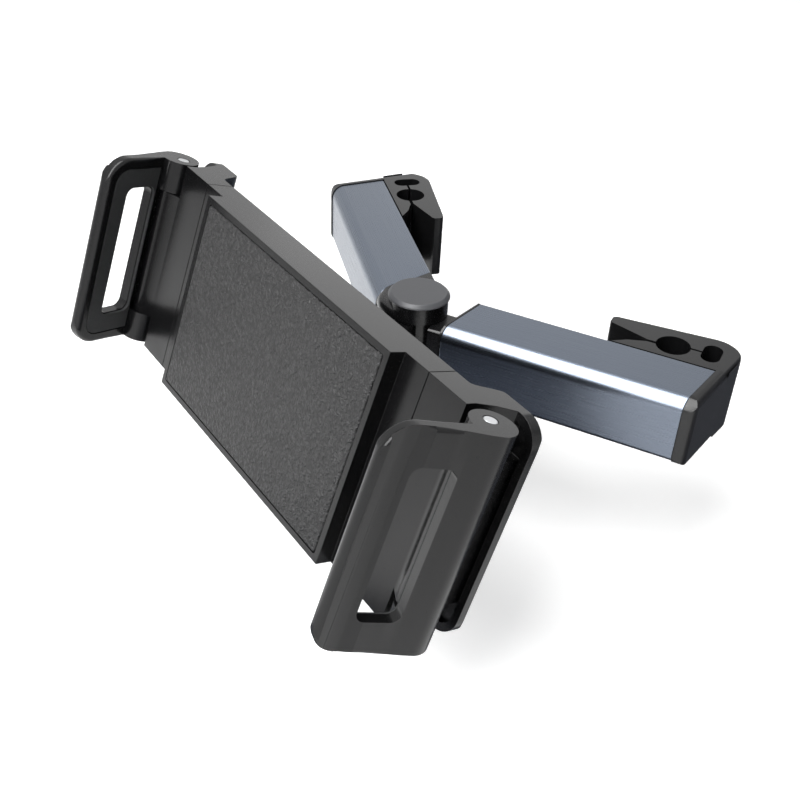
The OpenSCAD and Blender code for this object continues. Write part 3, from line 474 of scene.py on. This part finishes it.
class Palette:
    """Every finish of the mount, made once, by the record's slot."""

    def __init__(self) -> None:
        """Makes the materials."""
        finishes = {
            "sleeve_metal": AnodisedAluminium(),
            "black_plastic": MouldedPlastic(
                name="moulded_nylon", colour="0d0d0e", worn="111112", roughness=0.26, strength=0.06),
            "hook_plastic": MouldedPlastic(
                name="moulded_pom", colour="0d0d0e", worn="111112",
                roughness=0.3, grain_mm=0.4, strength=0.08),
            "cap_plastic": MouldedPlastic(
                name="moulded_cap", colour="424346", worn="47484b",
                roughness=0.42, grain_mm=0.6, strength=0.05),
            "holder_plastic": MouldedPlastic(
                name="moulded_abs", colour="0c0c0d", worn="0f0f10",
                roughness=0.25, strength=0.05, sheen=0.36),
            "pad_leather": LeatherGrain(),
            "flap_rubber": SoftRubber(),
            "white_nylon": NaturalNylon(),
            "ball_steel": TurnedSteel(name="plated_steel_ball", colour="b9babd", roughness=0.16),
            "pin_steel": TurnedSteel(name="turned_steel_pin", colour="d4d5d6", roughness=0.3),
            "zinc_steel": TurnedSteel(name="zinc_plated_steel", colour="b7bbc0", roughness=0.35),
            "spring_steel": TurnedSteel(name="spring_wire", colour="9a9b9e", roughness=0.3),
        }
        self.by_slot = {slot: finish.make() for slot, finish in finishes.items()}

    def dress(self, piece: bpy.types.Object, slot: str) -> None:
        """Gives a piece or a CAD node the finish of a slot.

        Args:
            piece: The object.
            slot: The record's slot.
        """
        piece.data.materials.clear()
        piece.data.materials.append(self.by_slot[slot])


# Mesh helpers


def solid_copy(node: bpy.types.Object, flat_deg: float = 0.8) -> bmesh.types.BMesh:
    """Copies a CAD solid into a clean mesh with flat faces joined.

    Args:
        node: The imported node.
        flat_deg: Faces that differ by less than this angle count as one flat face.

    Returns:
        A bmesh in metres in the row frame.
    """
    mesh = bmesh.new()
    mesh.from_mesh(node.data)
    bmesh.ops.remove_doubles(mesh, verts=mesh.verts, dist=2e-6)
    bmesh.ops.dissolve_degenerate(mesh, edges=mesh.edges, dist=1e-6)
    bmesh.ops.dissolve_limit(mesh, angle_limit=math.radians(flat_deg), verts=mesh.verts, edges=mesh.edges)
    return mesh


def sharp_edges(mesh: bmesh.types.BMesh, angle: float = 32.0) -> list[bmesh.types.BMEdge]:
    """Finds the edges that a mould would round.

    Args:
        mesh: The mesh.
        angle: Least angle between the two faces, in degrees.

    Returns:
        The edges.
    """
    limit = math.radians(angle)
    return [e for e in mesh.edges if len(e.link_faces) == 2 and e.calc_face_angle(0.0) > limit]


def round_edges(
    mesh: bmesh.types.BMesh, edges: Iterable[bmesh.types.BMEdge], radius_mm: float, segments: int = 3
) -> None:
    """Rounds edges in place.

    Args:
        mesh: The mesh.
        edges: The edges to round.
        radius_mm: Width of the round.
        segments: Steps of the round.
    """
    bmesh.ops.bevel(
        mesh, geom=list(edges), offset=radius_mm * MM, offset_type="OFFSET", segments=segments, profile=0.5,
        affect="EDGES", clamp_overlap=True, material=-1, loop_slide=True,
    )


def to_object(mesh: bmesh.types.BMesh, name: str, smooth_deg: float = 35.0) -> bpy.types.Object:
    """Turns a bmesh into a smooth-shaded object at the origin.

    Args:
        mesh: The mesh, freed here.
        name: The piece's name.
        smooth_deg: Edges sharper than this stay hard.

    Returns:
        The object.
    """
    data = bpy.data.meshes.new(name)
    mesh.to_mesh(data)
    mesh.free()
    piece = bpy.data.objects.new(name, data)
    bpy.context.scene.collection.objects.link(piece)
    data.shade_smooth()
    data.set_sharp_from_angle(angle=math.radians(smooth_deg))
    weighted = piece.modifiers.new("weighted", "WEIGHTED_NORMAL")
    weighted.keep_sharp = True
    weighted.weight = 80
    graph = bpy.context.evaluated_depsgraph_get()
    final = bpy.data.meshes.new_from_object(
        piece.evaluated_get(graph), preserve_all_data_layers=True, depsgraph=graph)
    piece.modifiers.clear()
    piece.data = final
    final.name = name
    bpy.data.meshes.remove(data)
    return piece


@dataclass
class Assembly:
    """Pieces that belong together, dressed and reported."""

    frame: InitVar[dict[str, Any]]
    frames: Frames
    palette: Palette

    def __post_init__(self, frame: dict[str, Any]) -> None:
        """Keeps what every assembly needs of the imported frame.
        """
        self.nodes = frame["nodes"]
        self.slots = {part["node"]: part["material_slot"] for part in frame["record"]["subparts"]}
        self.body_of = {
            node: body for body, members in frame["record"]["behaviour"]["bodies"].items() for node in members
        }

    def keep(self, *names: str) -> None:
        """Gives CAD nodes their finish and leaves their shape.

        Args:
            names: The nodes.
        """
        for name in names:
            node = self.nodes[name]
            self.palette.dress(node, self.slots[name])
            node.data.shade_smooth()
            node.data.set_sharp_from_angle(angle=math.radians(30.0))
            LOG.info("dressed %s", name)

    def moulded(
        self, name: str, radius_mm: float, segments: int = 3, angle: float = 32.0,
        smooth_deg: float = 35.0,
    ) -> bpy.types.Object:
        """Stands a copy with rounded edges in for a CAD node.

        Args:
            name: The node, also the start of the piece's name.
            radius_mm: Width of the round.
            segments: Steps of the round.
            angle: Least angle of an edge that is rounded, in degrees.
            smooth_deg: Edges sharper than this stay hard.

        Returns:
            The new piece.
        """
        mesh = solid_copy(self.nodes[name])
        round_edges(mesh, sharp_edges(mesh, angle), radius_mm, segments)
        piece = to_object(mesh, f"{name}_moulding", smooth_deg)
        return self.place(piece, name)

    def place(self, piece: bpy.types.Object, name: str) -> bpy.types.Object:
        """Dresses a piece that stands for a CAD node and lets it ride.

        Args:
            piece: The new piece.
            name: The node it stands for.

        Returns:
            The same piece.
        """
        self.palette.dress(piece, self.slots[name])
        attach(piece, self.body_of[name])
        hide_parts(name)
        LOG.info("%s: %d faces", piece.name, len(piece.data.polygons))
        return piece


def add_lay(piece: bpy.types.Object, place: Matrix) -> None:
    """Stores each point's place along the arm, in millimetres, for the brushed finish.

    Args:
        piece: The piece.
        place: The arm's frame.
    """
    back = place.inverted()
    layer = piece.data.attributes.new("lay", "FLOAT_VECTOR", "POINT")
    values = [c / MM for vertex in piece.data.vertices for c in back @ vertex.co]
    layer.data.foreach_set("vector", values)


@dataclass
class Arm(Assembly):
    """The arms: on each, the metal sleeve, the core and the hook with its screws."""

    post_u: float = 94.8
    post_v: float = 19.0

    def build(self) -> None:
        """Builds both arms."""
        for side in Side:
            sleeve = self.moulded(f"{side.word}_sleeve", 0.35, angle=40)
            add_lay(sleeve, self.frames.arms[side])
            self.moulded(f"{side.word}_core", 0.35)
            self.moulded(f"{side.word}_hook", 0.6, smooth_deg=60)
            self.keep(f"{side.word}_hook_screws")


@dataclass
class Hub(Assembly):
    """The hub with its cap, bolt, washers and ball stud."""

    def build(self) -> None:
        """Builds the hub."""
        self.moulded("hub_body", 0.5)
        self.moulded("hub_cap", 0.3)
        self.moulded("bottom_cap", 0.3)
        self.keep("pivot_bolt", "pivot_nut", "hub_washers", "ball_stud", "ball_liner", "seat_cup")
        self.moulded("locking_ring", 0.3)


@dataclass
class Holder(Assembly):
    """The holder: shells, pad, rack drive and brackets."""

    ball_depth: float = 24.0

    def build(self) -> None:
        """Builds the holder."""
        self.moulded("front_shell", 0.5)
        self.moulded("back_cover", 0.3)
        self.moulded("grip_pad", 0.5)
        self.keep("cover_screws", "pinion", "left_spring", "right_spring")
        for side in Side:
            self.moulded(f"{side.word}_bracket", 0.5)


@dataclass
class Flap(Assembly):
    """The folding flaps with their pins and pads.

    A flap's own frame has x out of its outer face, y along the pin and z towards the tip, in millimetres.
    """

    half: float = 40.0
    depth: float = 35.6
    corner: float = 10.5
    middle: float = 6.7
    thick: float = 5.4
    bow: float = 0.7
    rim_round: float = 1.5
    root_round: float = 0.4
    edge_round: float = 0.5
    start: float = 8.0
    growth: float = 12.0
    growth_cuts: tuple[float, ...] = (10.0, 12.0, 14.0, 16.0, 18.0, 20.0)
    steps: tuple[float, ...] = (0.06, 0.22, 0.48, 0.8, 1.12, 1.5)
    sectors: int = 10

    def cut(
        self, mesh: bmesh.types.BMesh, where: Callable[[Vector], bool],
        point: tuple[float, float], normal: tuple[float, float],
    ) -> None:
        """Cuts some faces along a line, seen along x.

        Args:
            mesh: The flap in its own frame.
            where: Says by its middle whether a face is cut.
            point: A point of the line, as y and z.
            normal: The line's normal, as y and z.
        """
        faces = [face for face in mesh.faces if where(face.calc_center_median())]
        parts = set(faces)
        for face in faces:
            parts.update(face.edges)
            parts.update(face.verts)
        bmesh.ops.bisect_plane(
            mesh, geom=list(parts), dist=1e-4, plane_co=(0.0, *point), plane_no=(0.0, *normal))

    def press(self, spot: Vector) -> float:
        """Finds how thick the rim is at a point.

        Args:
            spot: The point in the flap's frame.

        Returns:
            How far from the plate's middle a point may lie; the full thickness where nothing is pressed.
        """
        across, up = abs(spot.y), spot.z
        side, tip = across - (self.half - self.corner), up - (self.depth - self.corner)
        inside = self.corner - math.hypot(side, tip) if side > 0 and tip > 0 else self.half - across
        grown = min(max((up - self.start) / self.growth, 0.0), 1.0)
        width = self.root_round + (self.rim_round - self.root_round) * grown * grown * (3 - 2 * grown)
        if inside >= width:
            return self.thick
        short = width - max(inside, 0.0)
        return self.thick / 2 - width + math.sqrt(width * width - short * short)

    def soften(self, mesh: bmesh.types.BMesh) -> None:
        """Gives the sides and the corners a round rim that grows from the root towards the tip.

        Args:
            mesh: The flap in its own frame.
        """
        low, high = self.depth - self.corner, self.half - self.corner
        along_pin, up_flap = (1.0, 0.0), (0.0, 1.0)
        wedge = math.pi / 2 / self.sectors
        for sign in (-1, 1):

            def in_half(c: Vector, sign: int = sign) -> bool:
                """Says whether a face lies in this half of the plate."""
                return c.z > self.start - 1.5 and c.y * sign > 0

            def in_side(c: Vector, sign: int = sign) -> bool:
                """Says whether a face lies at this side, between the root and the corner."""
                return self.start < c.z < low and c.y * sign > high

            self.cut(mesh, in_half, (0.0, self.start), up_flap)
            self.cut(mesh, in_half, (sign * high, 0.0), along_pin)
            self.cut(mesh, in_half, (0.0, low), up_flap)
            for z in self.growth_cuts:
                self.cut(mesh, in_side, (0.0, z), up_flap)
            for step in self.steps:
                self.cut(mesh, in_side, (sign * (self.half - step), 0.0), along_pin)
            for k in range(1, self.sectors):
                normal = (-math.sin(k * wedge), sign * math.cos(k * wedge))
                self.cut(mesh, lambda c: c.z > low and c.y * sign > high, (sign * high, low), normal)
            for k in range(self.sectors):
                mid = (sign * math.cos((k + 0.5) * wedge), math.sin((k + 0.5) * wedge))

                def in_wedge(c: Vector, k: int = k, sign: int = sign) -> bool:
                    """Says whether a face lies in this sector of the corner."""
                    side, tip = c.y * sign - high, c.z - low
                    return side > 0 and tip > 0 and k <= math.atan2(tip, side) / wedge < k + 1

                for step in self.steps:
                    reach = (self.corner - step) * math.cos(wedge / 2)
                    self.cut(mesh, in_wedge, (sign * high + mid[0] * reach, low + mid[1] * reach), mid)
        for vertex in mesh.verts:
            spot = vertex.co
            if spot.z > self.start:
                mid_x = self.middle - self.bow * math.sin(math.pi * min(spot.z / self.depth, 1.0))
                room = self.press(spot)
                spot.x = min(max(spot.x, mid_x - room), mid_x + room)
        bmesh.ops.remove_doubles(mesh, verts=mesh.verts, dist=2e-3)
        bmesh.ops.dissolve_degenerate(mesh, edges=mesh.edges, dist=1e-3)

    def build(self) -> None:
        """Builds both flaps."""
        for side in Side:
            name = f"{side.word}_flap"
            place = self.frames.flaps[side] @ Matrix.Scale(MM, 4)
            mesh = solid_copy(self.nodes[name], 0.1)
            mesh.transform(place.inverted())
            self.soften(mesh)
            rim = {v for v in mesh.verts if abs(v.co.y) > self.half - 0.05 and v.co.z > self.start - 0.5}
            edges = [e for e in sharp_edges(mesh) if not rim.intersection(e.verts)]
            round_edges(mesh, edges, self.edge_round / MM, 3)
            mesh.transform(place)
            self.place(to_object(mesh, f"{name}_moulding"), name)
            self.keep(f"{name}_pin", f"{name}_pad")


# Studio


@dataclass(frozen=True)
class Studio:
    """Plain floor, soft light and the camera of the photograph."""

    lens_mm: float = 47.65
    sensor_mm: float = 36.0
    azimuth: float = 50.625
    elevation: float = 35.253
    roll: float = 2.778
    side_mm: float = 6.703
    rise_mm: float = 27.693
    distance_mm: float = 414.981
    floor_drop_mm: float = 45.0
    card_rise_mm: float = 2.0
    world_level: float = 0.35

    def camera(self, hub: Vector) -> None:
        """Makes the camera.

        Args:
            hub: The hub's axis at the arms' mid height, which the angles turn about.
        """
        az, el, ro = (math.radians(a) for a in (self.azimuth, self.elevation, self.roll))
        back = Vector((math.sin(az) * math.cos(el), -math.cos(az) * math.cos(el), math.sin(el)))
        right = Vector((math.cos(az), math.sin(az), 0.0))
        up = back.cross(right)
        across = right * math.cos(ro) + up * math.sin(ro)
        above = -right * math.sin(ro) + up * math.cos(ro)
        data = bpy.data.cameras.new("photo_camera")
        data.lens = self.lens_mm
        data.sensor_width = self.sensor_mm
        data.clip_start = 0.01
        data.clip_end = 20.0
        camera = bpy.data.objects.new("photo_camera", data)
        place = hub + (-across * self.side_mm - above * self.rise_mm + back * self.distance_mm) * MM
        camera.matrix_world = Matrix.Translation(place) @ Matrix((across, above, back)).transposed().to_4x4()
        bpy.context.scene.collection.objects.link(camera)
        bpy.context.scene.camera = camera

    def floor(self, low: Vector, centre: Vector) -> None:
        """Lays the floor below the mount.

        Args:
            low: Lowest corner of the mount.
            centre: Middle of the mount.
        """
        mesh = bmesh.new()
        bmesh.ops.create_grid(mesh, x_segments=1, y_segments=1, size=6.0)
        spot = Vector((centre.x, centre.y, low.z - self.floor_drop_mm * MM))
        bmesh.ops.translate(mesh, vec=spot, verts=mesh.verts)
        piece = to_object(mesh, "studio_floor")
        piece.data.materials.append(StudioFloor().make())
        piece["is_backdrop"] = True

    def lamp(
        self, name: str, centre: Vector, way: tuple[float, float, float], size: tuple[float, float],
        watts: float, shine: bool = True, along: tuple[float, float, float] = (0.906, 0.423, 0.0),
    ) -> None:
        """Adds one soft lamp, 0.9 m from the mount.

        Args:
            name: The lamp's name.
            centre: Middle of the mount.
            way: Direction in which it stands.
            size: Its width and height, in metres.
            watts: Its power.
            shine: Whether it is seen in reflections, or else gives even light alone.
            along: Direction of its width; the right arm's own unless given.
        """
        data = bpy.data.lights.new(name, "AREA")
        data.shape = "RECTANGLE"
        data.size, data.size_y = size
        data.energy = watts
        lamp = bpy.data.objects.new(name, data)
        out = Vector(way).normalized()
        rise = out.cross(Vector(along)).normalized()
        turn = Matrix((rise.cross(out), rise, out)).transposed().to_4x4()
        lamp.matrix_world = Matrix.Translation(centre + out * 0.9) @ turn
        lamp.visible_glossy = shine
        lamp.visible_diffuse = not shine
        bpy.context.scene.collection.objects.link(lamp)

    def card(self, name: str, corners: Sequence[tuple[float, float, float]]) -> None:
        """Lays a dark card that only reflections see, as a photographer does for shiny metal.

        Args:
            name: The card's name.
            corners: Its corners, in metres.
        """
        mesh = bmesh.new()
        mesh.faces.new([mesh.verts.new(corner) for corner in corners])
        piece = to_object(mesh, name)
        paper = MouldedPlastic(name="dark_card", colour="5a5d66", worn="5d6069", roughness=0.9)
        piece.data.materials.append(paper.make())
        piece.visible_camera = False
        piece.visible_diffuse = False
        piece.visible_shadow = False
        piece.visible_transmission = False
        piece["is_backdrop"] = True

    def light(self, centre: Vector, floor: float) -> None:
        """Sets the lamps, the cards and the world.

        Args:
            centre: Middle of the mount.
            floor: Height of the floor, in metres.
        """
        self.lamp("strip_top", centre, (-0.034, -0.283, 0.96), (0.5, 1.0), 13.6)
        self.lamp("strip_front", centre, (0.223, -0.831, 0.53), (0.5, 0.55), 7.5)
        back_along = (0.8, 0.58, 0.0)
        self.lamp("strip_back", centre, (-0.58, 0.8, 0.16), (0.5, 0.36), 0.25, along=back_along)
        self.lamp("soft_key", centre, (0.1, -0.6, 0.8), (0.6, 0.6), 11.0, shine=False)
        z = floor + self.card_rise_mm * MM
        self.card("low_card", [
            (-0.1, -0.3, z), (0.005, -0.3, z), (0.035, -0.07, z), (0.2, 0.03, z),
            (0.25, 0.4, z), (-0.23, 0.4, z), (-0.23, -0.02, z), (-0.1, -0.06, z)])
        self.card("back_card", [(-0.22, 0.4, z), (0.3, 0.4, z), (0.3, 0.4, 0.2), (-0.22, 0.4, 0.2)])
        world = bpy.data.worlds.new("studio_world")
        bpy.context.scene.world = world
        world.use_nodes = True
        tree = world.node_tree
        tree.nodes.clear()
        level = add_node(tree, "ShaderNodeMapRange", {
            0: open_rays(tree), "To Min": self.world_level, "To Max": 1.0})
        shader = add_node(tree, "ShaderNodeBackground", {"Color": WHITE, "Strength": level.outputs[0]})
        add_node(tree, "ShaderNodeOutputWorld", {"Surface": shader.outputs[0]})

    def build(self, hub: Vector) -> None:
        """Builds the studio round the mount.

        Args:
            hub: The hub's axis at the arms' mid height.
        """
        low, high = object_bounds()
        centre = (low + high) / 2
        self.floor(low, centre)
        self.light(centre, low.z - self.floor_drop_mm * MM)
        self.camera(hub)
        bpy.context.scene.view_settings.view_transform = "Standard"


def main() -> None:
    """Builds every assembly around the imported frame."""
    logging.basicConfig(level=logging.INFO, format="%(message)s")
    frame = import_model()
    frames = Frames(frame["joints"])
    palette = Palette()
    for assembly in (Arm, Hub, Holder, Flap):
        assembly(frame, frames, palette).build()
    Studio().build(frames.hub)


if __name__ == "__main__":
    main()
